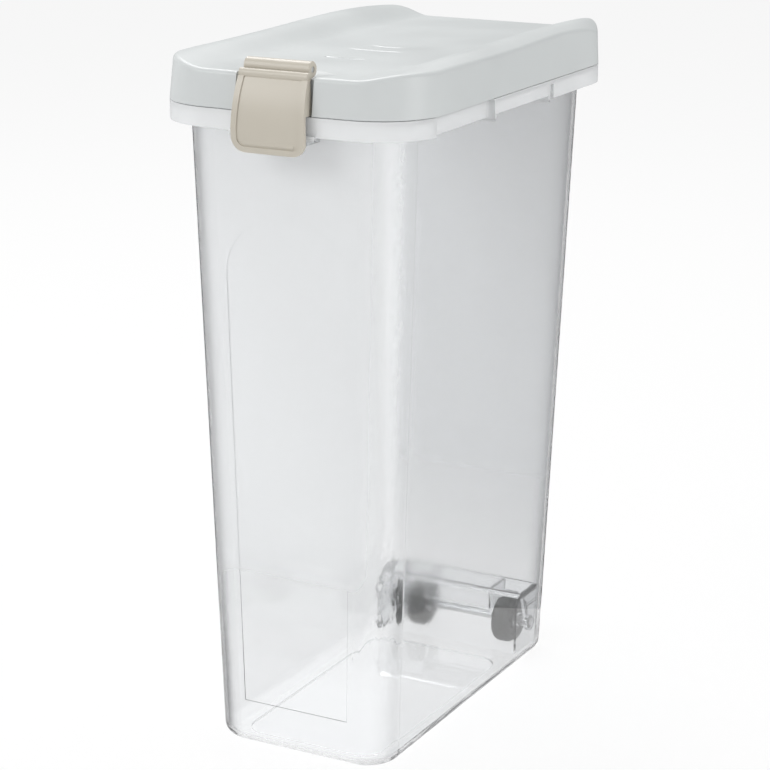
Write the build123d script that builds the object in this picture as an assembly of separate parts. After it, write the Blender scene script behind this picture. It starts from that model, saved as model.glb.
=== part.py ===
from build123d import *
import math
import os

# Pet food storage bin: a tall tapered tub, a hinged lid with a front latch, and two rear wheels
# Millimetres. X to the right as seen from the front, Y to the rear, Z up
# The origin is on the floor, under the middle of the tub

# Tub
tub_height = 461.7
tub_foot_width = 138.0
tub_foot_depth = 283.0
tub_foot_corner = 25.0
tub_top_width = 168.0
tub_top_depth = 310.0
tub_top_corner = 29.0
tub_wall = 2.4
tub_floor = 3.0
foot_edge_radius = 9.0
base_band = 16.0
base_recess = 2.0
mouth_lip_height = 4.0

# Rim of the tub
rim_side_reach = 16.0
rim_end_reach = 14.0
rim_corner = 46.0
rim_bow = 2.6
rim_skirt_height = 13.0
rim_skirt_wall = 2.4
rim_plate = 3.0
grip_middle = 0.5
grip_length = 91.0
grip_lift = 2.6
grip_gap = 6.0
recess_length = 86.0
recess_depth = 5.8
recess_corner = 2.0

# Arched panel on the front wall
arch_width = 94.0
arch_foot_width = 82.0
arch_top_drop = 71.7
arch_rise = 43.0
arch_foot_height = 34.0
arch_depth = 0.7

# Catch under the front of the rim
catch_width = 64.0
catch_height = 2.4
catch_reach = 1.0
catch_rib_spacing = 50.0
catch_rib_width = 1.8
catch_rib_drop = 2.6

# Wheels and axle
wheel_radius = 18.5
wheel_width = 14.0
wheel_shoulder = 4.5
shoulder_flat = 0.3
wheel_spacing = 75.0
wheel_setback = 12.5
wheel_lift = 0.5
wheel_dish = 2.0
wheel_hub_radius = 6.5
axle_radius = 3.0
axle_running_clearance = 0.06
axle_end_clearance = 0.4
axle_chamfer = 0.5

# Niche for the wheels, and the carrier that snaps into it
niche_side_room = 11.5
niche_head_room = 8.5
niche_depth = 40.5
niche_edge_radius = 10.0
carrier_wall = 2.6
carrier_clearance = 0.3
carrier_depth = 29.0
carrier_setback = 0.5
carrier_corner = 3.0
wheel_side_clearance = 0.6
cross_rib_setback = 1.5
cross_rib_drop = 14.0
ear_radius = 7.0
ear_shoulder = 1.0
boss_radius = 5.5
snap_ridge_radius = 1.2
snap_ridge_length = 20.0
snap_ridge_drop = 10.0
fixed_pin_clearance = 0.02

# Lid, with its heights given above the tub's top
lid_gap = 0.6
lid_wall = 2.4
lid_front_lean = 8.0
lid_side_lean = 3.0
lid_cheek_width = 46.0
lid_crest_inset = 14.0
lid_rear_crest_inset = 22.0
lid_front_field_rise = 25.3
lid_shoulder_field_rise = 24.2
lid_field_rise = 23.6
lid_rear_field_rise = 22.0
lid_front_crest_rise = 27.8
lid_shoulder_crest_rise = 31.6
lid_middle_crest_rise = 32.8
lid_high_crest_rise = 33.2
lid_rear_crest_rise = 28.3
lid_front_edge_rise = 25.2
lid_side_edge_rise = 28.4
lid_rear_edge_rise = 10.0
lid_shoulder_setback = 90.0
lid_high_crest_setback = 66.0
lid_edge_radius = 3.2
seal_rib_wall = 2.0

# Grip grooves in the lid's top
groove_count = 4
groove_field_setback = 129.0
groove_field_reach = 40.0
groove_longest = 50.0
groove_sag = 2.6
groove_radius = 3.0
groove_depth = 0.8
groove_end_rise = 1.0

# Gasket pushed on to the lid's rib
seal_width = 6.0
seal_height = 6.0
seal_web = 2.0
seal_bottom_gap = 0.3
seal_slot_clearance = 0.05

# Latch
latch_pivot_setback = 9.0
latch_pivot_rise = 4.0
latch_top_width = 51.0
latch_width = 55.0
latch_length = 53.0
latch_top_drop = 2.0
latch_corner = 10.0
latch_wall = 2.4
latch_standoff = 5.7
latch_bulge_rise = 16.0
latch_plate_radius = 75.0
latch_flank_reach = 6.0
latch_flank_clearance = 0.8
latch_border = 4.0
latch_dish = 0.8
bead_radius = 3.2
bead_setback = 6.7
bead_drop = 3.8
barrel_radius = 5.4
barrel_length = 49.0
barrel_chamfer = 0.6
barrel_skin = 1.2
hook_width = 38.0
hook_height = 4.4
hook_clearance = 0.35
latch_pin_radius = 2.0
latch_pin_clearance = 0.06
latch_pin_recess = 0.4

# Pocket and ears for the latch in the front of the lid
pocket_half_width = 29.0
pocket_clearance = 1.4
pocket_depth = 5.6
scoop_half_width = 38.0
scoop_radius = 45.0
scoop_depth = 2.5
scoop_shift = 9.0
pin_ear_width = 4.0
pin_ear_spacing = 24.0
pin_ear_radius = 3.8
pin_ear_front_reach = 1.5
pin_ear_rear_reach = 2.6
pin_ear_side_clearance = 0.7
slot_rear_angle = 75.0
slot_front_angle = 25.0

# Rear hinges
hinge_drop = 2.7
hinge_gap = 0.3
hinge_offset = 50.0
hinge_pin_radius = 2.0
hinge_pin_clearance = 0.06
knuckle_radius = 4.0
knuckle_length = 12.0
knuckle_side_clearance = 0.5
arm_foot_rise = 0.6
arm_back_rise = 10.0
arm_top_rise = 13.0
arm_back_reach = 1.5
lug_length = 5.0
pin_head_radius = 3.2
pin_head_length = 1.6

# How far cutters and blanks reach past what they cut or fill
overshoot = 1.0
blank_margin = 20.0

# Heights and places that follow from the sizes above
rim_width = tub_top_width + 2 * rim_side_reach
rim_depth = tub_top_depth + 2 * rim_end_reach
rim_foot_height = tub_height - rim_skirt_height
rim_plate_foot_height = tub_height - rim_plate
lip_top_height = tub_height + mouth_lip_height
grip_front = grip_middle - grip_length / 2
grip_rear = grip_middle + grip_length / 2
recess_front = grip_front - recess_length
wheel_centre = wheel_spacing / 2
wheel_y = tub_foot_depth / 2 - wheel_setback
axle_height = wheel_radius + wheel_lift
niche_half = wheel_centre + wheel_width / 2 + niche_side_room
niche_height = axle_height + wheel_radius + niche_head_room
niche_front = tub_foot_depth / 2 - niche_depth
carrier_half = niche_half - carrier_clearance
carrier_top_height = niche_height - carrier_clearance
carrier_plate_foot = carrier_top_height - carrier_wall
carrier_rear = tub_foot_depth / 2 - carrier_setback
carrier_front = carrier_rear - carrier_depth
lid_foot_height = tub_height + lid_gap
lid_front_field_height = tub_height + lid_front_field_rise
lid_field_height = tub_height + lid_field_rise
lid_blank_height = tub_height + lid_high_crest_rise + blank_margin
seal_foot_height = lip_top_height + seal_bottom_gap
seal_rib_foot_height = seal_foot_height + seal_web + seal_slot_clearance
catch_foot_height = rim_foot_height - catch_height
catch_front_y = -rim_depth / 2 - rim_bow - catch_reach
hook_top_height = catch_foot_height - hook_clearance
latch_pivot_y = -rim_depth / 2 + latch_pivot_setback
latch_pivot_height = lid_front_field_height + latch_pivot_rise
latch_top_height = latch_pivot_height - latch_top_drop
latch_foot_height = latch_top_height - latch_length
latch_bulge_y = -rim_depth / 2 - rim_bow - latch_standoff
latch_bulge_height = latch_foot_height + latch_bulge_rise
latch_flank_y = latch_pivot_y - latch_flank_reach
latch_flank_foot = tub_height + latch_flank_clearance
pocket_face_y = -rim_depth / 2 + pocket_depth
hinge_y = rim_depth / 2 + knuckle_radius + hinge_gap
hinge_height = tub_height - hinge_drop


def box_between(x_range, y_range, z_range):
    """Box between pairs of limits."""
    sizes = [limits[1] - limits[0] for limits in (x_range, y_range, z_range)]
    middle = [(limits[1] + limits[0]) / 2 for limits in (x_range, y_range, z_range)]
    return Pos(*middle) * Box(*sizes)


def rod(radius, x_from, x_to, y, z):
    """Cylinder along X."""
    return Pos((x_from + x_to) / 2, y, z) * Rot(0, 90, 0) * Cylinder(radius, abs(x_to - x_from))


def side_profile(points):
    """Closed face in the YZ plane through points given as (y, z)."""
    return Plane.YZ * make_face(Polyline(*points, close=True))


def across(face, x_from, x_to):
    """Prism of a face in the YZ plane, from one X to another."""
    return Pos(x_from, 0, 0) * extrude(face, x_to - x_from)


def side_rectangle(y_range, z_range):
    """Rectangle in the YZ plane between given limits."""
    low_y, high_y = y_range
    low_z, high_z = z_range
    return side_profile([(low_y, low_z), (high_y, low_z), (high_y, high_z), (low_y, high_z)])


def mirrored(shape):
    """Shape together with its mirror image in the plane X = 0."""
    return shape + mirror(shape, Plane.YZ)


def bowed_outline(width, depth, corner, height):
    """Rounded rectangle with its front side bowed out, as a face at a height."""
    half_w = width / 2
    half_d = depth / 2
    flat_x = half_w - corner
    flat_y = half_d - corner
    front = Spline((-flat_x, -half_d), (0, -half_d - rim_bow), (flat_x, -half_d), tangents=[(1, 0), (1, 0)])
    right_front = CenterArc((flat_x, -flat_y), corner, -90, 90)
    right = Line((half_w, -flat_y), (half_w, flat_y))
    right_rear = CenterArc((flat_x, flat_y), corner, 0, 90)
    rear = Line((flat_x, half_d), (-flat_x, half_d))
    left_rear = CenterArc((-flat_x, flat_y), corner, 90, 90)
    left = Line((-half_w, flat_y), (-half_w, -flat_y))
    left_front = CenterArc((-flat_x, -flat_y), corner, 180, 90)
    edges = [front, right_front, right, right_rear, rear, left_rear, left, left_front]
    return Pos(0, 0, height) * make_face(edges)


def tub_section(height, inset):
    """Outline of the tub's wall at a height, moved inwards by an inset."""
    share = height / rim_foot_height
    width = tub_foot_width + (tub_top_width - tub_foot_width) * share
    depth = tub_foot_depth + (tub_top_depth - tub_foot_depth) * share
    corner = tub_foot_corner + (tub_top_corner - tub_foot_corner) * share
    outline = RectangleRounded(width - 2 * inset, depth - 2 * inset, corner - inset)
    return Pos(0, 0, height) * outline


def tub_taper(inset, foot, top):
    """Tapered solid of the tub between two heights."""
    return loft([tub_section(foot, inset), tub_section(top, inset)], ruled=True)


def rounded_foot(solid, radius):
    """Solid with its lowest edges rounded."""
    return fillet(solid.edges().group_by(Axis.Z)[0], radius)


def niche_block(wall):
    """Space of the wheel niche, larger by a wall, open to the rear and below."""
    half = niche_half + wall
    front = niche_front - wall
    top = niche_height + wall
    block = box_between((-half, half), (front, tub_top_depth), (-top, top))
    top_front = block.edges().filter_by(Axis.X).group_by(Axis.Z)[-1].sort_by(Axis.Y)[0]
    return fillet(top_front, niche_edge_radius + wall)


def tub_shell():
    """Wall, floor and wheel niche of the tub, without its rim."""
    outside = rounded_foot(tub_taper(0, 0, lip_top_height), foot_edge_radius)
    inside = rounded_foot(tub_taper(tub_wall, tub_floor, lip_top_height), foot_edge_radius - tub_wall)
    shell = outside - (inside - niche_block(tub_wall)) - niche_block(0)
    rear_limit = niche_front - tub_wall - base_band
    front_limit = -tub_foot_depth / 2 + base_band
    recess_outline = RectangleRounded(
        tub_foot_width - 2 * base_band, rear_limit - front_limit, tub_foot_corner - base_band / 2
    )
    recess = extrude(Pos(0, (rear_limit + front_limit) / 2, 0) * recess_outline, base_recess)
    return shell - recess


def front_arch():
    """Shallow arched panel in the outer face of the front wall."""
    half = arch_width / 2
    half_foot = arch_foot_width / 2
    spring_height = tub_height - arch_top_drop - arch_rise
    arch = EllipticalCenterArc((0, spring_height), half, arch_rise, 0, arc_size=180)
    sides = Polyline(
        (-half, spring_height),
        (-half_foot, arch_foot_height),
        (half_foot, arch_foot_height),
        (half, spring_height),
    )
    prism = extrude(Plane.XZ * make_face([arch, sides]), tub_top_depth)
    skin = tub_taper(0, 0, rim_foot_height) - tub_taper(arch_depth, 0, rim_foot_height)
    return prism & skin


def rim_recess(wall):
    """Step in the side of the rim ahead of each hand grip, with a wall around it, as cutters."""
    half = rim_width / 2
    inner = half - recess_depth - wall
    block = box_between(
        (inner, half + overshoot),
        (recess_front - wall, grip_front + wall),
        (rim_foot_height - overshoot, tub_height + overshoot),
    )
    inner_edges = block.edges().filter_by(Axis.Z).sort_by(Axis.X)[:2]
    return mirrored(fillet(inner_edges, recess_corner + wall))


def rim_skirt():
    """Plate and skirt of the rim, stepped in ahead of the hand grips and open behind them."""
    outside = extrude(bowed_outline(rim_width, rim_depth, rim_corner, rim_foot_height), rim_skirt_height)
    inner_outline = bowed_outline(
        rim_width - 2 * rim_skirt_wall,
        rim_depth - 2 * rim_skirt_wall,
        rim_corner - rim_skirt_wall,
        rim_foot_height,
    )
    inside = extrude(inner_outline, rim_skirt_height - rim_plate) - rim_recess(rim_skirt_wall)
    rim = outside - rim_recess(0) - inside
    half = rim_width / 2
    inner_half = tub_top_width / 2 + tub_wall
    foot = rim_foot_height - overshoot
    rear_gap = box_between(
        (inner_half, half + overshoot), (grip_rear, grip_rear + grip_gap), (foot, rim_plate_foot_height)
    )
    grip_edge = box_between(
        (inner_half, half + overshoot), (grip_front, grip_rear), (foot, rim_foot_height + grip_lift)
    )
    rim -= mirrored(rear_gap + grip_edge)
    return rim - tub_taper(tub_wall / 2, foot, lip_top_height)


def rim_web(y):
    """Web under the rim plate, across from the wall to the skirt, at both sides."""
    web = box_between(
        (tub_top_width / 2 - tub_wall / 2, rim_width / 2),
        (y, y + rim_skirt_wall),
        (rim_foot_height - tub_wall, rim_plate_foot_height + overshoot),
    )
    return mirrored(web)


def catch():
    """Bar under the front of the rim that the latch hooks over, with its two ribs."""
    bar = box_between(
        (-catch_width / 2, catch_width / 2),
        (catch_front_y, catch_front_y + catch_reach + rim_skirt_wall),
        (catch_foot_height, rim_foot_height + overshoot),
    )
    rib = box_between(
        (catch_rib_spacing / 2, catch_rib_spacing / 2 + catch_rib_width),
        (catch_front_y, -tub_top_depth / 2 + tub_wall / 2),
        (catch_foot_height - catch_rib_drop, rim_foot_height),
    )
    return bar + mirrored(rib)


def hinge_lugs():
    """Pair of lugs for each rear hinge, bored for the pin."""
    inner_y = rim_depth / 2 - rim_skirt_wall
    root = side_profile(
        [
            (inner_y, hinge_height - knuckle_radius),
            (hinge_y, hinge_height - knuckle_radius),
            (hinge_y, tub_height),
            (inner_y, tub_height),
        ]
    )
    lugs = Part()
    reach = knuckle_length / 2 + knuckle_side_clearance
    for start in (hinge_offset - reach - lug_length, hinge_offset + reach):
        lug = across(root, start, start + lug_length)
        lug += rod(knuckle_radius, start, start + lug_length, hinge_y, hinge_height)
        lugs += lug
    return mirrored(lugs)


def snap_ridges(radius):
    """Rods along Y on both sides of the carrier, or the niche's grooves for them if larger."""
    length = snap_ridge_length + 2 * radius
    height = niche_height - snap_ridge_drop
    ridge = Pos(carrier_half, wheel_y, height) * Rot(90, 0, 0) * Cylinder(radius, length)
    return mirrored(ridge)


def make_tub():
    """Tub with its rim, grips, catch, hinge lugs and wheel niche."""
    tub = tub_shell() - front_arch()
    tub += rim_skirt()
    for y in (grip_front, grip_rear - rim_skirt_wall):
        tub += rim_web(y)
    tub += catch()
    tub += hinge_lugs()
    half = rim_width / 2
    tub -= rod(hinge_pin_radius + fixed_pin_clearance, -half, half, hinge_y, hinge_height)
    tub -= snap_ridges(snap_ridge_radius + carrier_clearance)
    return tub


def lid_plan(inset, height):
    """Outline of the lid's leaning walls at a height, moved inwards by an inset."""
    rise = height - lid_foot_height
    side = inset + rise * math.tan(math.radians(lid_side_lean))
    front = inset + rise * math.tan(math.radians(lid_front_lean))
    outline = bowed_outline(rim_width - 2 * side, rim_depth - side - front, rim_corner - side, height)
    return Pos(0, (front - side) / 2, 0) * outline


def lid_section(y, field_rise, crest_rise, crest_inset, edge_rise, drop):
    """Cross-section of the lid's upper side at a place along its length, given above the tub's top."""
    edge = rim_width / 2
    field_half = edge - lid_cheek_width
    crest_half = edge - crest_inset
    right_slope = Spline((field_half, field_rise), (crest_half, crest_rise), tangents=[(1, 0), (1, 0)])
    right_edge = Spline((crest_half, crest_rise), (edge, edge_rise), tangents=[(1, 0), (3, -1)])
    left_edge = Spline((-edge, edge_rise), (-crest_half, crest_rise), tangents=[(3, 1), (1, 0)])
    left_slope = Spline((-crest_half, crest_rise), (-field_half, field_rise), tangents=[(1, 0), (1, 0)])
    top = [
        Line((-field_half, field_rise), (field_half, field_rise)),
        right_slope,
        right_edge,
        Polyline((edge, edge_rise), (edge, -blank_margin), (-edge, -blank_margin), (-edge, edge_rise)),
        left_edge,
        left_slope,
    ]
    return Pos(0, y, tub_height - drop) * (Plane.XZ * make_face(top))


def lid_volume(inset):
    """Outer volume of the lid, or the hollow under it if moved inwards."""
    walls = loft([lid_plan(inset, lid_foot_height), lid_plan(inset, lid_blank_height)], ruled=True)
    reach = rim_depth / 2 + rim_bow + overshoot
    shoulder_y = lid_shoulder_setback - rim_depth / 2
    high_y = rim_depth / 2 - lid_high_crest_setback
    stations = [
        (-reach, lid_front_field_rise, lid_front_crest_rise, lid_crest_inset, lid_front_edge_rise),
        (shoulder_y, lid_shoulder_field_rise, lid_shoulder_crest_rise, lid_crest_inset, lid_side_edge_rise),
        (0, lid_field_rise, lid_middle_crest_rise, lid_crest_inset, lid_side_edge_rise),
        (high_y, lid_field_rise, lid_high_crest_rise, lid_crest_inset, lid_side_edge_rise),
        (reach, lid_rear_field_rise, lid_rear_crest_rise, lid_rear_crest_inset, lid_rear_edge_rise),
    ]
    sections = [lid_section(*station, inset) for station in stations]
    return walls & loft(sections)


def rounded_top(solid, radius):
    """Solid with the edge between its walls and its top rounded."""
    faces = solid.faces()
    top = [face for face in faces if face.normal_at(face.center()).Z > 0.5]
    walls = [face for face in faces if abs(face.normal_at(face.center()).Z) < 0.5]
    wall_edges = [edge for face in walls for edge in face.edges()]
    top_edges = [edge for face in top for edge in face.edges()]
    shared = [edge for edge in top_edges if any(edge.is_same(other) for other in wall_edges)]
    return fillet(ShapeList(shared), radius)


def latch_pocket(wall):
    """Space for the latch in the front of the lid, larger by a wall."""
    half = pocket_half_width + wall
    face_y = pocket_face_y + wall
    front = box_between((-half, half), (-rim_depth, face_y), (tub_height - overshoot, lid_blank_height))
    seat = rod(barrel_radius + pocket_clearance + wall, -half, half, latch_pivot_y, latch_pivot_height)
    return front + seat + finger_scoop(wall)


def finger_scoop(wall):
    """Shallow scoop behind the barrel, deepest in the middle and fading out at both ends."""
    axis_height = lid_front_field_height + scoop_radius - scoop_depth
    edge = scoop_radius - scoop_depth + wall
    half = scoop_half_width
    profile = make_face(
        [
            ThreePointArc((-half, edge), (0, scoop_radius + wall), (half, edge)),
            Polyline((half, edge), (half, 0), (-half, 0), (-half, edge)),
        ]
    )
    return Pos(0, latch_pivot_y + scoop_shift, axis_height) * revolve(profile, Axis.X)


def grip_grooves():
    """Shallow curved grooves in the lid's top, as cutters."""
    grooves = Part()
    for count in range(groove_count):
        angle = math.pi * (count + 1) / (groove_count + 1)
        y = groove_field_setback - rim_depth / 2 + groove_field_reach * math.cos(angle)
        half = groove_longest / 2 * math.sin(angle)
        height = lid_field_height + groove_radius - groove_depth
        path = Spline(
            (-half, y, height + groove_end_rise),
            (0, y - groove_sag, height),
            (half, y, height + groove_end_rise),
        )
        section = Plane(origin=path @ 0, z_dir=path % 0) * Circle(groove_radius)
        grooves += sweep(section, path=path)
    return grooves


def pin_ears():
    """Two ears on the lid that hold the latch pin."""
    ears = Part()
    root = side_rectangle(
        (latch_pivot_y - pin_ear_front_reach, latch_pivot_y + pin_ear_rear_reach),
        (lid_front_field_height - 2 * lid_wall, latch_pivot_height),
    )
    for side in (-1, 1):
        start = side * pin_ear_spacing / 2 - pin_ear_width / 2
        ears += across(root, start, start + pin_ear_width)
        ears += rod(pin_ear_radius, start, start + pin_ear_width, latch_pivot_y, latch_pivot_height)
    return ears


def lid_knuckles():
    """Knuckles at the rear of the lid that turn on the hinge pins, on arms that lead down from its wall."""
    wall_y = rim_depth / 2
    inner_y = wall_y - lid_wall
    foot = lid_foot_height + arm_foot_rise
    slant = knuckle_radius / math.sqrt(2)
    arm = side_profile(
        [
            (inner_y, foot),
            (wall_y + hinge_gap, foot),
            (hinge_y - knuckle_radius, hinge_height),
            (hinge_y, hinge_height),
            (hinge_y + slant, hinge_height + slant),
            (wall_y + arm_back_reach, lid_foot_height + arm_back_rise),
            (inner_y, lid_foot_height + arm_top_rise),
        ]
    )
    start = hinge_offset - knuckle_length / 2
    end = hinge_offset + knuckle_length / 2
    knuckle = across(arm, start, end)
    knuckle += rod(knuckle_radius, start, end, hinge_y, hinge_height)
    return mirrored(knuckle)


def seal_inset(width):
    """Inset from the tub's outer face that centres a width on the middle of its wall."""
    return (tub_wall - width) / 2


def seal_ring(width, foot, top):
    """Upright ring of a width over the middle of the tub's mouth lip."""
    outer_inset = seal_inset(width)
    outer = tub_section(lip_top_height, outer_inset)
    inner = tub_section(lip_top_height, outer_inset + width)
    return Pos(0, 0, foot - lip_top_height) * extrude(outer - inner, top - foot)


def make_lid():
    """Lid shell with its latch pocket, seal rib, grooves, ears and knuckles."""
    outside = rounded_top(lid_volume(0), lid_edge_radius)
    inside = lid_volume(lid_wall)
    hollow = inside - latch_pocket(lid_wall)
    rib = seal_ring(seal_rib_wall, seal_rib_foot_height, lid_blank_height) & hollow
    lid = outside - hollow - latch_pocket(0)
    lid += rib
    lid += pin_ears()
    lid += lid_knuckles()
    lid -= grip_grooves()
    half = rim_width / 2
    lid -= rod(hinge_pin_radius + hinge_pin_clearance, -half, half, hinge_y, hinge_height)
    lid -= rod(latch_pin_radius + fixed_pin_clearance, -half, half, latch_pivot_y, latch_pivot_height)
    return lid


def make_lid_seal():
    """Gasket with a slot that pushes on to the lid's rib."""
    body = seal_ring(seal_width, seal_foot_height, seal_foot_height + seal_height)
    slot_width = seal_rib_wall + 2 * seal_slot_clearance
    slot = seal_ring(slot_width, seal_foot_height + seal_web, seal_foot_height + seal_height)
    return body - slot


def latch_front_outline(inset):
    """Outline of the latch as seen from the front, moved inwards by an inset."""
    top_half = latch_top_width / 2 - inset
    half = latch_width / 2 - inset
    foot = latch_foot_height + inset
    top = latch_top_height + barrel_radius - 2 * inset
    outline = make_face(
        Polyline(
            (-top_half, top),
            (-half, latch_bulge_height),
            (-half, foot),
            (half, foot),
            (half, latch_bulge_height),
            (top_half, top),
            close=True,
        )
    )
    corners = outline.vertices().group_by(Axis.Y)[0]
    return Plane.XZ * fillet(corners, latch_corner - inset)


def plate_circle(inset):
    """Circle in the side view whose front side is the face of the latch plate."""
    centre_y = latch_bulge_y + latch_plate_radius
    return Plane.YZ * (Pos(centre_y, latch_bulge_height) * Circle(latch_plate_radius - inset))


def latch_slab(y_range, z_range, inset, border):
    """Slice of the latch between limits, behind its face by an inset and inside its outline by a border."""
    half = latch_width / 2 + overshoot
    slab = across(side_rectangle(y_range, z_range) & plate_circle(inset), -half, half)
    return slab & extrude(latch_front_outline(border), -2 * y_range[0])


def latch_dish_cut():
    """Shallow dish in the front of the plate, within its border and up to the bead."""
    half = latch_width / 2 + overshoot
    near = latch_bulge_y - overshoot
    dish_top = latch_top_height - bead_drop
    side = side_rectangle((near, latch_pivot_y), (latch_foot_height, dish_top)) - plate_circle(latch_dish)
    return across(side, -half, half) & extrude(latch_front_outline(latch_border), -2 * near)


def make_latch():
    """Latch with its dished plate, flanks, hook, top bead and slotted barrel."""
    near = latch_bulge_y - overshoot
    foot = latch_foot_height - overshoot
    barrel_half = barrel_length / 2
    bridge_foot = latch_pivot_height - barrel_radius + latch_pin_clearance
    bridge_top = latch_top_height - latch_wall / 2
    body = latch_slab((near, latch_flank_y), (foot, latch_top_height - bead_drop), 0, 0) - latch_dish_cut()
    bead_y = latch_pivot_y - bead_setback
    bead_half = latch_top_width / 2
    body += rod(bead_radius, -bead_half, bead_half, bead_y, latch_top_height - bead_drop + bead_radius / 2)
    body += across(
        side_rectangle((bead_y, latch_pivot_y), (bridge_foot, bridge_top)), -barrel_half, barrel_half
    )
    body -= latch_slab((near, latch_pivot_y), (foot, bridge_foot - latch_wall / 2), latch_wall, latch_wall)
    half = latch_width / 2 + overshoot
    below_flanks = side_rectangle((near, latch_pivot_y), (foot, latch_flank_foot)) & plate_circle(latch_wall)
    body -= across(below_flanks, -half, half)
    body += make_hook()
    barrel = rod(barrel_radius, -barrel_half, barrel_half, latch_pivot_y, latch_pivot_height)
    body += chamfer(barrel.edges().filter_by(GeomType.CIRCLE), barrel_chamfer)
    for side in (-1, 1):
        body -= pin_ear_slot(side * pin_ear_spacing / 2)
    return body - rod(
        latch_pin_radius + latch_pin_clearance, -half, half, latch_pivot_y, latch_pivot_height
    )


def make_hook():
    """Hook on the back of the latch plate, just below the tub's catch."""
    tip_y = catch_front_y - hook_clearance
    root_y = latch_bulge_y + latch_wall / 2
    hook = side_profile(
        [
            (root_y, hook_top_height),
            (tip_y, hook_top_height),
            (tip_y, hook_top_height - hook_height / 2),
            (root_y, hook_top_height - hook_height),
        ]
    )
    return across(hook, -hook_width / 2, hook_width / 2)


def pin_ear_slot(middle):
    """Slot in the rear and underside of the barrel, in which an ear of the lid stands."""
    half = pin_ear_width / 2 + pin_ear_side_clearance
    inner = rod(barrel_radius - barrel_skin, middle - half, middle + half, latch_pivot_y, latch_pivot_height)
    far = 3 * barrel_radius
    rear = side_profile(
        [
            (latch_pivot_y, latch_pivot_height),
            (latch_pivot_y + far, latch_pivot_height + far * math.tan(math.radians(slot_rear_angle))),
            (latch_pivot_y + far, latch_pivot_height - far),
            (latch_pivot_y - far * math.tan(math.radians(slot_front_angle)), latch_pivot_height - far),
        ]
    )
    return inner + across(rear, middle - half, middle + half)


def make_latch_pin():
    """Pin held in the lid's ears, with the latch barrel running on it."""
    half = barrel_length / 2 - latch_pin_recess
    return rod(latch_pin_radius, -half, half, latch_pivot_y, latch_pivot_height)


def make_hinge_pin(side):
    """Headed hinge pin of one side, pushed in from outside."""
    reach = knuckle_length / 2 + knuckle_side_clearance + lug_length
    middle = side * hinge_offset
    inner = middle - side * reach
    outer = middle + side * reach
    pin = rod(hinge_pin_radius, min(inner, outer), max(inner, outer), hinge_y, hinge_height)
    head_end = outer + side * pin_head_length
    pin += rod(pin_head_radius, min(outer, head_end), max(outer, head_end), hinge_y, hinge_height)
    return pin


def make_wheel(side):
    """Dished wheel with rounded shoulders, bored to run on the axle."""
    half = wheel_width / 2
    rim_inner = wheel_radius - wheel_shoulder
    profile = make_face(
        Polyline(
            (axle_radius + axle_running_clearance, -half),
            (wheel_hub_radius, -half),
            (wheel_hub_radius + wheel_dish / 2, -half + wheel_dish),
            (rim_inner - wheel_dish / 2, -half + wheel_dish),
            (rim_inner, -half),
            (wheel_radius, -half),
            (wheel_radius, half),
            (rim_inner, half),
            (rim_inner - wheel_dish / 2, half - wheel_dish),
            (wheel_hub_radius + wheel_dish / 2, half - wheel_dish),
            (wheel_hub_radius, half),
            (axle_radius + axle_running_clearance, half),
            close=True,
        )
    )
    shoulders = profile.vertices().group_by(Axis.X)[-1]
    profile = fillet(shoulders, wheel_shoulder - shoulder_flat)
    wheel = revolve(Plane.XZ * profile, Axis.Z)
    return Pos(side * wheel_centre, wheel_y, axle_height) * Rot(0, 90, 0) * wheel


def make_axle():
    """Axle through both wheels, with chamfered ends."""
    half = niche_half - axle_end_clearance
    axle = rod(axle_radius, -half, half, wheel_y, axle_height)
    return chamfer(axle.edges().filter_by(GeomType.CIRCLE), axle_chamfer)


def ear_profile(radius):
    """Side view of a carrier ear: tapered down to a round eye about the axle."""
    eye = Plane.YZ * (Pos(wheel_y, axle_height) * Circle(radius))
    root_height = carrier_plate_foot + carrier_wall / 2
    taper = side_profile(
        [
            (wheel_y - radius, axle_height),
            (carrier_front + ear_shoulder, root_height),
            (carrier_rear - ear_shoulder, root_height),
            (wheel_y + radius, axle_height),
        ]
    )
    return eye + taper


def make_carrier():
    """Bracket in the niche: a top plate, two cheeks with bosses, two inner ears and a cross rib."""
    carrier = box_between(
        (-carrier_half, carrier_half),
        (carrier_front, carrier_rear),
        (carrier_plate_foot, carrier_top_height),
    )
    carrier = fillet(carrier.edges().filter_by(Axis.Z), carrier_corner)
    cheek_inner = carrier_half - carrier_wall
    ear_outer = wheel_centre - wheel_width / 2 - wheel_side_clearance
    ear_inner = ear_outer - carrier_wall
    boss_end = wheel_centre + wheel_width / 2 + wheel_side_clearance
    sides = across(ear_profile(ear_radius), cheek_inner, carrier_half)
    sides += across(ear_profile(ear_radius), ear_inner, ear_outer)
    sides += rod(boss_radius, boss_end, cheek_inner, wheel_y, axle_height)
    carrier += mirrored(sides)
    rib_front = carrier_front + cross_rib_setback
    carrier += box_between(
        (-ear_inner - overshoot, ear_inner + overshoot),
        (rib_front, rib_front + carrier_wall),
        (carrier_plate_foot - cross_rib_drop, carrier_plate_foot + overshoot),
    )
    carrier += snap_ridges(snap_ridge_radius)
    half = niche_half + overshoot
    carrier -= rod(axle_radius + fixed_pin_clearance, -half, half, wheel_y, axle_height)
    return carrier


pieces = {
    "tub": make_tub(),
    "wheel_carrier": make_carrier(),
    "axle": make_axle(),
    "wheel_left": make_wheel(-1),
    "wheel_right": make_wheel(1),
    "lid": make_lid(),
    "lid_seal": make_lid_seal(),
    "latch": make_latch(),
    "latch_pin": make_latch_pin(),
    "hinge_pin_left": make_hinge_pin(-1),
    "hinge_pin_right": make_hinge_pin(1),
}

os.makedirs("parts", exist_ok=True)
for name, piece in pieces.items():
    export_step(piece, f"parts/{name}.step")
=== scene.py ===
"""Pet food storage bin: a clear tapered tub, a grey hinged lid, a taupe latch and two rear wheels.

Laid out as a Blender add-on and run as a script. Lengths are in metres, Z is up and the front
faces -Y.
"""

import math

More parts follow.
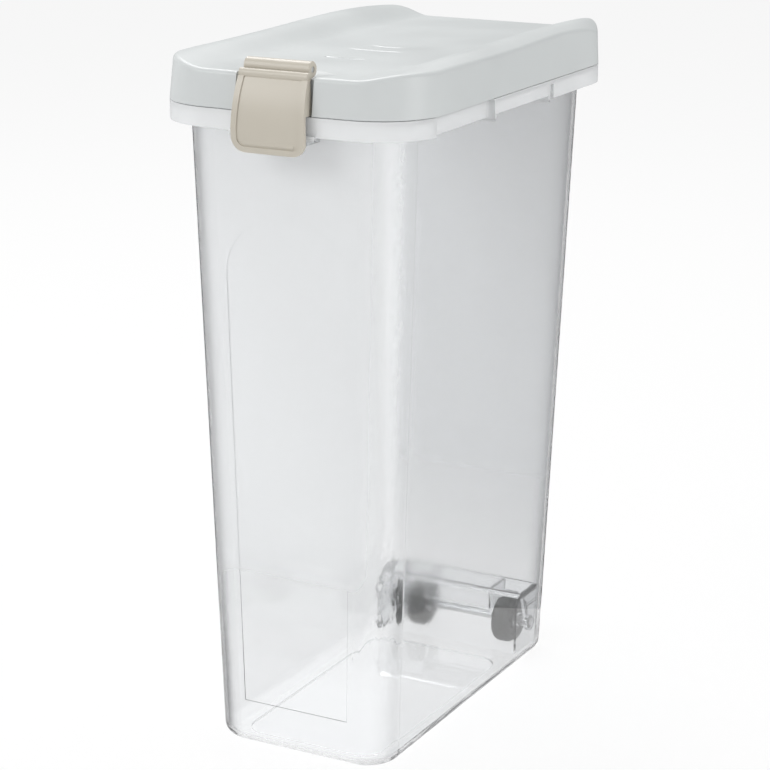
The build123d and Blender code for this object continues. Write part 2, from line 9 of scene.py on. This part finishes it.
import bmesh
import bpy
from bpy.props import FloatProperty, FloatVectorProperty, PointerProperty
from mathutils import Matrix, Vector

bl_info = {
    "name": "Pet Food Storage Bin",
    "version": (1, 0, 0),
    "blender": (4, 5, 0),
    "location": "View3D > Sidebar > Storage Bin",
    "description": "Finishes the parts of a pet food storage bin and sets its studio",
    "category": "Object",
}

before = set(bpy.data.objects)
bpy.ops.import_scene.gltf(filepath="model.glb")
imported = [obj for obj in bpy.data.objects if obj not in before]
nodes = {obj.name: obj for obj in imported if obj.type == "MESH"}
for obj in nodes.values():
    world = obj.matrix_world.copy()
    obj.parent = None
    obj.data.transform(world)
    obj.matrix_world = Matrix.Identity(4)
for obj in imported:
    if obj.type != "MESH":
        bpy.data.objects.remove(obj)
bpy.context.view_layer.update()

# Camera, fitted to the photograph's view: degrees, metres and millimetres of lens
CAMERA_PLACE = Vector((0.7849, -1.5173, 0.7258))
CAMERA_YAW = 29.1
CAMERA_PITCH = 16.0
CAMERA_LENS = 113.66
CAMERA_SENSOR = 36.0
CAMERA_SHIFT = (0.0847, 0.0016)

FLOOR_RADIUS = 12.0
FLOOR_COLOUR = (0.86, 0.86, 0.86, 1.0)
FLOOR_WHITE_SHARE = 0.85

WHITE = (1.0, 1.0, 1.0, 1.0)
WORLD_STRENGTH = 0.55

# Lamps: name, place, size and power
LAMPS = (
    ("key_lamp", (-1.6, -2.2, 1.9), 1.6, 35.0),
    ("top_lamp", (-0.9, 0.9, 2.2), 1.2, 27.0),
    ("side_lamp", (2.4, -0.2, 0.85), 1.4, 21.0),
)
LAMP_TARGET = (0.0, 0.0, 0.25)

# Dark screen: headings from +Y towards +X in degrees, radii and heights
SCREEN_START = -80.0
SCREEN_END = 105.0
SCREEN_STEPS = 24
SCREEN_NEAR = 0.22
SCREEN_FAR = 0.44
SCREEN_FOOT = 0.0005
SCREEN_TOP = 0.7
SCREEN_PATH = ((SCREEN_NEAR, SCREEN_FOOT), (SCREEN_FAR, SCREEN_FOOT), (SCREEN_FAR, SCREEN_TOP))
SCREEN_COLOUR = (0.2, 0.205, 0.21, 1.0)

# Noises: features per metre and detail
FLOW_MARKS = (14.0, 3.0)
MILK_FLOW = (9.0, 2.0)
HAZE_CLOUDS = (30.0, 4.0)
WALL_WAVES = (60.0, 2.0)
SPARK_DETAIL = 3.0

# Part of a noise's range that most of its values lie in
NOISE_MIDDLE = (0.3, 0.7)

# Depths of relief
SPARK_DEPTH = 0.00002
WAVE_DEPTH = 0.00003
LINE_DEPTH = 0.00001

# Satin plastics: sparks per metre, range of roughness and shine
LID_SATIN = (1400.0, (0.36, 0.46), 0.45)
SEAL_SATIN = (700.0, (0.6, 0.75), 0.3)
LATCH_SATIN = (1800.0, (0.3, 0.4), 0.45)
WHEEL_SATIN = (900.0, (0.45, 0.6), 0.15)
SATIN_CHANGE = 0.02

# Drawn steel: its colour, change of brightness, range of roughness and lines along X
STEEL_COLOUR = (0.6, 0.6, 0.6)
STEEL_CHANGE = 0.08
STEEL_ROUGHNESS = (0.22, 0.4)
STEEL_LINES = (60.0, 4000.0, 4000.0)
LINE_NOISE = (1.0, 3.0)

# Height from which the tub's rim is frosted, and over which the frosting fades in
RIM_FOOT = 0.4465
RIM_FADE = 0.002

# Height over the wheel niche from which the end walls are milky, and over which that fades in
END_FOOT = 0.055
END_FADE = 0.09

# Height up to which the foot is polished, so that the wheels show, and over which that fades out
POLISH_TOP = 0.07
POLISH_FADE = 0.06
POLISHED_SHARE = 0.25

# Facing values between which painted shade darkens a corner's edge
EDGE_SHADE_START = 0.08
EDGE_SHADE_END = 0.85

# Clear plastic: its optics, its colour seen straight on, and the painted shade it takes edge-on
# and round a corner
CLEAR_IOR = 1.45
CLEAR_SPECULAR = (0.25, 0.25, 0.25, 1.0)
CLEAR_STRAIGHT = (0.99, 0.995, 1.0, 1.0)
CLEAR_GRAZING_SHADE = (0.17, 0.175, 0.185, 1.0)
CLEAR_CORNER_SHADE = (0.03, 0.03, 0.035, 1.0)
CLEAR_SHADOW = (0.95, 0.955, 0.96, 1.0)
CLEAR_DEPTHS = (0.2, 0.22, 0.24, 1.0)
CLEAR_DENSITY = 8.0
CLEAR_HAZE = (0.07, 0.1)

# Shares of milky plastic on the tub's end walls and rim, and on the wheel carrier's
TUB_MILK = (0.3, 0.66)
CARRIER_MILK = (0.0, 0.0)
CARRIER_CLEARNESS = 0.99

# Milky plastic: share of light that it lets through, and change of brightness
MILK_BACK_SHARE = 0.2
MILK_CHANGE = 0.01


class BinSettings(bpy.types.PropertyGroup):
    """Colours and sizes that a user of the bin may want to change."""

    tub_colour: FloatVectorProperty(
        name="Tub",
        description="Colour of the clear plastic",
        subtype="COLOR",
        min=0.0,
        max=1.0,
        default=(0.875, 0.885, 0.89),
    )
    tub_clearness: FloatProperty(
        name="Tub clearness",
        description="Share of the light that the clear plastic lets through",
        subtype="FACTOR",
        min=0.0,
        max=1.0,
        default=0.99,
    )
    lid_colour: FloatVectorProperty(
        name="Lid",
        description="Colour of the lid's plastic",
        subtype="COLOR",
        min=0.0,
        max=1.0,
        default=(0.59, 0.613, 0.613),
    )
    latch_colour: FloatVectorProperty(
        name="Latch",
        description="Colour of the latch's plastic",
        subtype="COLOR",
        min=0.0,
        max=1.0,
        default=(0.53, 0.492, 0.42),
    )
    wheel_colour: FloatVectorProperty(
        name="Wheels",
        description="Colour of the wheels' plastic",
        subtype="COLOR",
        min=0.0,
        max=1.0,
        default=(0.024, 0.024, 0.021),
    )
    carrier_colour: FloatVectorProperty(
        name="Wheel carrier",
        description="Colour of the bracket that carries the wheels",
        subtype="COLOR",
        min=0.0,
        max=1.0,
        default=(0.9, 0.91, 0.91),
    )
    seal_colour: FloatVectorProperty(
        name="Gasket",
        description="Colour of the gasket under the lid",
        subtype="COLOR",
        min=0.0,
        max=1.0,
        default=(0.7, 0.71, 0.71),
    )
    lamp_strength: FloatProperty(
        name="Lamps",
        description="Strength of the studio lamps, as a share of their plain level",
        min=0.0,
        soft_max=2.0,
        default=1.0,
    )


def settings():
    """The bin's settings on the current scene."""
    return bpy.context.scene.storage_bin


def new_material(name):
    """Material with an empty node tree and its output node."""
    material = bpy.data.materials.new(name)
    material.use_nodes = True
    tree = material.node_tree
    tree.nodes.clear()
    output = tree.nodes.new("ShaderNodeOutputMaterial")
    return material, tree, output


def add_node(tree, kind, **values):
    """Node of a kind, with input values given by name and underscores for spaces."""
    node = tree.nodes.new(kind)
    for name, value in values.items():
        node.inputs[name.replace("_", " ")].default_value = value
    return node


def object_point(tree):
    """Point on the piece in its own coordinates, in metres."""
    return tree.nodes.new("ShaderNodeTexCoord").outputs["Object"]


def noise(tree, point, scale, detail):
    """Noise with features of about 1 / scale metres, from 0 to 1."""
    texture = add_node(tree, "ShaderNodeTexNoise", Scale=scale, Detail=detail)
    tree.links.new(point, texture.inputs["Vector"])
    return texture.outputs["Fac"]


def ramp(tree, value, start, end):
    """Value mapped from a range to a range, and held at its ends."""
    mapped = add_node(
        tree,
        "ShaderNodeMapRange",
        From_Min=start[0],
        From_Max=start[1],
        To_Min=end[0],
        To_Max=end[1],
    )
    tree.links.new(value, mapped.inputs["Value"])
    return mapped.outputs["Result"]


def spread(tree, value, low, high):
    """Value from the middle of a noise mapped to a range."""
    return ramp(tree, value, NOISE_MIDDLE, (low, high))


def tinted(tree, value, colour, change):
    """Colour that varies in brightness by a share either way with a value."""
    mix = tree.nodes.new("ShaderNodeMix")
    mix.data_type = "RGBA"
    dark = [channel * (1.0 - change) for channel in colour]
    light = [min(1.0, channel * (1.0 + change)) for channel in colour]
    mix.inputs["A"].default_value = (*dark, 1.0)
    mix.inputs["B"].default_value = (*light, 1.0)
    tree.links.new(spread(tree, value, 0.0, 1.0), mix.inputs["Factor"])
    return mix.outputs["Result"]


def relief(tree, height, distance):
    """Surface normal that follows a height, whose full range is a distance in metres."""
    bump = add_node(tree, "ShaderNodeBump", Distance=distance, Strength=1.0)
    tree.links.new(height, bump.inputs["Height"])
    return bump.outputs["Normal"]


def moulded_plastic(name, colour, grain, roughness, shine):
    """Satin moulded plastic: fine spark texture, faint flow marks and uneven gloss."""
    material, tree, output = new_material(name)
    point = object_point(tree)
    shader = add_node(tree, "ShaderNodeBsdfPrincipled", Specular_IOR_Level=shine)
    flow = noise(tree, point, *FLOW_MARKS)
    fine = noise(tree, point, grain, SPARK_DETAIL)
    tree.links.new(tinted(tree, flow, colour, SATIN_CHANGE), shader.inputs["Base Color"])
    tree.links.new(spread(tree, flow, *roughness), shader.inputs["Roughness"])
    tree.links.new(relief(tree, fine, SPARK_DEPTH), shader.inputs["Normal"])
    tree.links.new(shader.outputs["BSDF"], output.inputs["Surface"])
    return material


def maths(tree, operation, first, second):
    """Result of an operation on a socket and a second socket or number."""
    node = tree.nodes.new("ShaderNodeMath")
    node.operation = operation
    tree.links.new(first, node.inputs[0])
    if isinstance(second, float):
        node.inputs[1].default_value = second
    else:
        tree.links.new(second, node.inputs[1])
    return node.outputs["Value"]


def surface_parts(tree, output_name):
    """X, Y and Z of a Texture Coordinate output, in the piece's own coordinates."""
    parts = tree.nodes.new("ShaderNodeSeparateXYZ")
    source = tree.nodes.new("ShaderNodeTexCoord").outputs[output_name]
    tree.links.new(source, parts.inputs["Vector"])
    return parts.outputs


def frosted_share(tree, base, ends, rim):
    """Share of milky plastic: a base, with more on the end walls and most on the rim."""
    height = surface_parts(tree, "Object")["Z"]
    share = ramp(tree, height, (RIM_FOOT, RIM_FOOT + RIM_FADE), (base, rim))
    end_share = ramp(tree, height, (END_FOOT, END_FOOT + END_FADE), (0.0, ends))
    along = surface_parts(tree, "Normal")["Y"]
    end_wall = maths(tree, "MULTIPLY", maths(tree, "MULTIPLY", along, along), end_share)
    return maths(tree, "ADD", share, end_wall)


def milky_plastic(tree, point, colour):
    """Milky shader that scatters light back and lets some through."""
    flow = noise(tree, point, *MILK_FLOW)
    front = tree.nodes.new("ShaderNodeBsdfDiffuse")
    back = tree.nodes.new("ShaderNodeBsdfTranslucent")
    tint = tinted(tree, flow, colour, MILK_CHANGE)
    tree.links.new(tint, front.inputs["Color"])
    tree.links.new(tint, back.inputs["Color"])
    both = add_node(tree, "ShaderNodeMixShader", Fac=MILK_BACK_SHARE)
    tree.links.new(front.outputs["BSDF"], both.inputs[1])
    tree.links.new(back.outputs["BSDF"], both.inputs[2])
    return both.outputs["Shader"]


def corner_shade_share(tree):
    """Mask for painted corner shade: 0 on the flat walls and 1 halfway round an upright corner."""
    normal = surface_parts(tree, "Normal")
    product = maths(tree, "MULTIPLY", normal["X"], normal["Y"])
    return maths(tree, "MULTIPLY", maths(tree, "ABSOLUTE", product, 0.0), 2.0)


def painted_edge_shade(tree):
    """Colour of clear plastic, with painted shade that deepens where it is seen edge-on, and most
    round a corner.
    """
    facing = add_node(tree, "ShaderNodeLayerWeight", Blend=0.5).outputs["Facing"]
    walls = tree.nodes.new("ShaderNodeMix")
    walls.data_type = "RGBA"
    walls.inputs["A"].default_value = CLEAR_STRAIGHT
    walls.inputs["B"].default_value = CLEAR_GRAZING_SHADE
    rise = surface_parts(tree, "Normal")["Z"]
    upright = ramp(tree, maths(tree, "MULTIPLY", rise, rise), (0.0, 1.0), (1.0, 0.0))
    grazing_shade = maths(tree, "MULTIPLY", maths(tree, "POWER", facing, 2.0), upright)
    tree.links.new(grazing_shade, walls.inputs["Factor"])
    corners = tree.nodes.new("ShaderNodeMix")
    corners.data_type = "RGBA"
    corners.inputs["B"].default_value = CLEAR_CORNER_SHADE
    tree.links.new(walls.outputs["Result"], corners.inputs["A"])
    edge = ramp(tree, facing, (EDGE_SHADE_START, EDGE_SHADE_END), (0.0, 1.0))
    tree.links.new(maths(tree, "MULTIPLY", edge, corner_shade_share(tree)), corners.inputs["Factor"])
    return corners.outputs["Result"]


def clear_plastic(name, colour, clearness, end_frosting, rim_frosting):
    """Clear, slightly milky moulded plastic with a frosted rim, darker along its corners, partly
    by absorption in the thick plastic and partly by painted shade.
    """
    material, tree, output = new_material(name)
    point = object_point(tree)
    glass = add_node(
        tree,
        "ShaderNodeBsdfPrincipled",
        IOR=CLEAR_IOR,
        Transmission_Weight=1.0,
        Specular_Tint=CLEAR_SPECULAR,
    )
    # Painted shade: the glass colour darkens where the wall is seen edge-on and round its corners
    tree.links.new(painted_edge_shade(tree), glass.inputs["Base Color"])
    height = surface_parts(tree, "Object")["Z"]
    polish = ramp(tree, height, (POLISH_TOP, POLISH_TOP + POLISH_FADE), (POLISHED_SHARE, 1.0))
    haze = spread(tree, noise(tree, point, *HAZE_CLOUDS), *CLEAR_HAZE)
    tree.links.new(maths(tree, "MULTIPLY", haze, polish), glass.inputs["Roughness"])
    waves = noise(tree, point, *WALL_WAVES)
    tree.links.new(relief(tree, waves, WAVE_DEPTH), glass.inputs["Normal"])
    body = tree.nodes.new("ShaderNodeMixShader")
    milk = frosted_share(tree, 1.0 - clearness, end_frosting, rim_frosting)
    tree.links.new(milk, body.inputs[0])
    tree.links.new(glass.outputs["BSDF"], body.inputs[1])
    tree.links.new(milky_plastic(tree, point, colour), body.inputs[2])
    passing = add_node(tree, "ShaderNodeBsdfTransparent", Color=CLEAR_SHADOW)
    path = tree.nodes.new("ShaderNodeLightPath")
    mix = tree.nodes.new("ShaderNodeMixShader")
    tree.links.new(path.outputs["Is Shadow Ray"], mix.inputs[0])
    tree.links.new(body.outputs["Shader"], mix.inputs[1])
    tree.links.new(passing.outputs["BSDF"], mix.inputs[2])
    tree.links.new(mix.outputs["Shader"], output.inputs["Surface"])
    depths = add_node(
        tree, "ShaderNodeVolumeAbsorption", Color=CLEAR_DEPTHS, Density=CLEAR_DENSITY
    )
    tree.links.new(depths.outputs["Volume"], output.inputs["Volume"])
    return material


def drawn_steel(name):
    """Drawn steel rod with fine lines along X."""
    material, tree, output = new_material(name)
    mapping = add_node(tree, "ShaderNodeMapping", Scale=STEEL_LINES)
    tree.links.new(object_point(tree), mapping.inputs["Vector"])
    lines = noise(tree, mapping.outputs["Vector"], *LINE_NOISE)
    shader = add_node(tree, "ShaderNodeBsdfPrincipled", Metallic=1.0)
    tree.links.new(tinted(tree, lines, STEEL_COLOUR, STEEL_CHANGE), shader.inputs["Base Color"])
    tree.links.new(spread(tree, lines, *STEEL_ROUGHNESS), shader.inputs["Roughness"])
    tree.links.new(relief(tree, lines, LINE_DEPTH), shader.inputs["Normal"])
    tree.links.new(shader.outputs["BSDF"], output.inputs["Surface"])
    return material


def finish(node_name, material):
    """Gives a CAD node its material."""
    node = nodes[node_name]
    if not node.material_slots:
        node.data.materials.append(material)
    for slot in node.material_slots:
        slot.material = material


class BIN_OT_finish_tub(bpy.types.Operator):
    """Gives the tub its clear plastic."""

    bl_idname = "storage_bin.finish_tub"
    bl_label = "Finish tub"

    def execute(self, context):
        chosen = settings()
        plastic = clear_plastic(
            "clear_plastic", chosen.tub_colour, chosen.tub_clearness, *TUB_MILK
        )
        finish("tub", plastic)
        return {"FINISHED"}


class BIN_OT_finish_lid(bpy.types.Operator):
    """Gives the lid its satin plastic and the gasket its rubber."""

    bl_idname = "storage_bin.finish_lid"
    bl_label = "Finish lid"

    def execute(self, context):
        chosen = settings()
        finish("lid", moulded_plastic("lid_plastic", chosen.lid_colour, *LID_SATIN))
        finish("lid_seal", moulded_plastic("seal_rubber", chosen.seal_colour, *SEAL_SATIN))
        return {"FINISHED"}


class BIN_OT_finish_latch(bpy.types.Operator):
    """Gives the latch its taupe plastic."""

    bl_idname = "storage_bin.finish_latch"
    bl_label = "Finish latch"

    def execute(self, context):
        finish("latch", moulded_plastic("latch_plastic", settings().latch_colour, *LATCH_SATIN))
        return {"FINISHED"}


class BIN_OT_finish_wheels(bpy.types.Operator):
    """Gives the wheels and their carrier their plastics."""

    bl_idname = "storage_bin.finish_wheels"
    bl_label = "Finish wheels"

    def execute(self, context):
        chosen = settings()
        wheel_plastic = moulded_plastic("wheel_plastic", chosen.wheel_colour, *WHEEL_SATIN)
        for name in ("wheel_left", "wheel_right"):
            finish(name, wheel_plastic)
        carrier_plastic = clear_plastic(
            "white_plastic", chosen.carrier_colour, CARRIER_CLEARNESS, *CARRIER_MILK
        )
        finish("wheel_carrier", carrier_plastic)
        return {"FINISHED"}


class BIN_OT_finish_pins(bpy.types.Operator):
    """Gives the axle and the pins of the hinges and latch their steel."""

    bl_idname = "storage_bin.finish_pins"
    bl_label = "Finish pins"

    def execute(self, context):
        steel = drawn_steel("steel")
        for name in ("axle", "hinge_pin_left", "hinge_pin_right", "latch_pin"):
            finish(name, steel)
        return {"FINISHED"}


def seen_directly(tree, path):
    """1 for camera, glossy and transmission rays, and 0 for the rest."""
    total = path.outputs["Is Camera Ray"]
    for name in ("Is Glossy Ray", "Is Transmission Ray"):
        total = maths(tree, "MAXIMUM", total, path.outputs[name])
    return total


def studio_floor():
    """Wide pale floor that keeps the bin's soft shadow."""
    mesh = bpy.data.meshes.new("floor")
    shape = bmesh.new()
    bmesh.ops.create_grid(shape, x_segments=1, y_segments=1, size=FLOOR_RADIUS)
    shape.to_mesh(mesh)
    shape.free()
    floor = bpy.data.objects.new("floor", mesh)
    bpy.context.scene.collection.objects.link(floor)
    material, tree, output = new_material("floor_paint")
    paint = add_node(tree, "ShaderNodeBsdfDiffuse", Color=FLOOR_COLOUR)
    white = add_node(tree, "ShaderNodeEmission", Color=WHITE, Strength=1.0)
    path = tree.nodes.new("ShaderNodeLightPath")
    share = maths(tree, "MULTIPLY", seen_directly(tree, path), FLOOR_WHITE_SHARE)
    mix = tree.nodes.new("ShaderNodeMixShader")
    tree.links.new(share, mix.inputs[0])
    tree.links.new(paint.outputs["BSDF"], mix.inputs[1])
    tree.links.new(white.outputs["Emission"], mix.inputs[2])
    tree.links.new(mix.outputs["Shader"], output.inputs["Surface"])
    mesh.materials.append(material)


def studio_world():
    """Soft white surroundings that also show as the background."""
    world = bpy.data.worlds.new("studio")
    world.use_nodes = True
    tree = world.node_tree
    tree.nodes.clear()
    output = tree.nodes.new("ShaderNodeOutputWorld")
    light = add_node(tree, "ShaderNodeBackground", Color=WHITE, Strength=WORLD_STRENGTH)
    white = add_node(tree, "ShaderNodeBackground", Color=WHITE, Strength=1.0)
    path = tree.nodes.new("ShaderNodeLightPath")
    mix = tree.nodes.new("ShaderNodeMixShader")
    tree.links.new(seen_directly(tree, path), mix.inputs[0])
    tree.links.new(light.outputs["Background"], mix.inputs[1])
    tree.links.new(white.outputs["Background"], mix.inputs[2])
    tree.links.new(mix.outputs["Shader"], output.inputs["Surface"])
    bpy.context.scene.world = world


def softbox(name, place, size, power):
    """Square area lamp at a place, turned to the middle of the bin."""
    lamp = bpy.data.lights.new(name, "AREA")
    lamp.shape = "SQUARE"
    lamp.size = size
    lamp.energy = power * settings().lamp_strength
    holder = bpy.data.objects.new(name, lamp)
    holder.location = place
    aim = Vector(LAMP_TARGET) - Vector(place)
    holder.rotation_euler = aim.to_track_quat("-Z", "Y").to_euler()
    bpy.context.scene.collection.objects.link(holder)


def dark_screen():
    """Dark screen round the rear that only reflections show, to draw the clear plastic's edges."""
    mesh = bpy.data.meshes.new("dark_screen")
    shape = bmesh.new()
    rows = []
    for step in range(SCREEN_STEPS + 1):
        heading = math.radians(SCREEN_START + (SCREEN_END - SCREEN_START) * step / SCREEN_STEPS)
        across, along = math.sin(heading), math.cos(heading)
        rows.append(
            [
                shape.verts.new((across * radius, along * radius, height))
                for radius, height in SCREEN_PATH
            ]
        )
    for first, second in zip(rows, rows[1:]):
        for low in range(len(SCREEN_PATH) - 1):
            shape.faces.new((first[low], first[low + 1], second[low + 1], second[low]))
    shape.to_mesh(mesh)
    shape.free()
    screen = bpy.data.objects.new("dark_screen", mesh)
    bpy.context.scene.collection.objects.link(screen)
    material, tree, output = new_material("screen_felt")
    felt = add_node(tree, "ShaderNodeEmission", Color=SCREEN_COLOUR, Strength=1.0)
    tree.links.new(felt.outputs["Emission"], output.inputs["Surface"])
    mesh.materials.append(material)
    screen.visible_camera = False
    screen.visible_diffuse = False
    screen.visible_transmission = False
    screen.visible_shadow = False


def studio_camera():
    """Camera at the photograph's viewing angle."""
    data = bpy.data.cameras.new("camera")
    data.sensor_width = CAMERA_SENSOR
    data.lens = CAMERA_LENS
    data.shift_x, data.shift_y = CAMERA_SHIFT
    camera = bpy.data.objects.new("camera", data)
    yaw, pitch = math.radians(CAMERA_YAW), math.radians(CAMERA_PITCH)
    level = math.cos(pitch)
    back = Vector((math.sin(yaw) * level, -math.cos(yaw) * level, math.sin(pitch)))
    camera.location = CAMERA_PLACE
    camera.rotation_euler = (-back).to_track_quat("-Z", "Y").to_euler()
    bpy.context.scene.collection.objects.link(camera)
    bpy.context.scene.camera = camera


class BIN_OT_build_studio(bpy.types.Operator):
    """Builds the floor, the surroundings, the lamps and the camera."""

    bl_idname = "storage_bin.build_studio"
    bl_label = "Build studio"

    def execute(self, context):
        studio_floor()
        studio_world()
        for name, place, size, power in LAMPS:
            softbox(name, place, size, power)
        dark_screen()
        studio_camera()
        bpy.context.scene.view_settings.view_transform = "Standard"
        return {"FINISHED"}


class BIN_PT_panel(bpy.types.Panel):
    """Lists the steps that finish the bin, and its colours."""

    bl_idname = "BIN_PT_panel"
    bl_label = "Storage Bin"
    bl_space_type = "VIEW_3D"
    bl_region_type = "UI"
    bl_category = "Storage Bin"

    def draw(self, context):
        for name in BinSettings.__annotations__:
            self.layout.prop(context.scene.storage_bin, name)
        for step in STEPS:
            self.layout.operator(step.bl_idname)


STEPS = (
    BIN_OT_finish_tub,
    BIN_OT_finish_lid,
    BIN_OT_finish_latch,
    BIN_OT_finish_wheels,
    BIN_OT_finish_pins,
    BIN_OT_build_studio,
)


def register():
    """Adds the settings, the steps and the panel to Blender."""
    bpy.utils.register_class(BinSettings)
    bpy.types.Scene.storage_bin = PointerProperty(type=BinSettings)
    for step in STEPS:
        bpy.utils.register_class(step)
    bpy.utils.register_class(BIN_PT_panel)


def unregister():
    """Takes them out again."""
    bpy.utils.unregister_class(BIN_PT_panel)
    for step in reversed(STEPS):
        bpy.utils.unregister_class(step)
    del bpy.types.Scene.storage_bin
    bpy.utils.unregister_class(BinSettings)


def main():
    """Finishes every part, then builds the studio."""
    register()
    bpy.ops.storage_bin.finish_tub()
    bpy.ops.storage_bin.finish_lid()
    bpy.ops.storage_bin.finish_latch()
    bpy.ops.storage_bin.finish_wheels()
    bpy.ops.storage_bin.finish_pins()
    bpy.ops.storage_bin.build_studio()


if __name__ == "__main__":
    main()
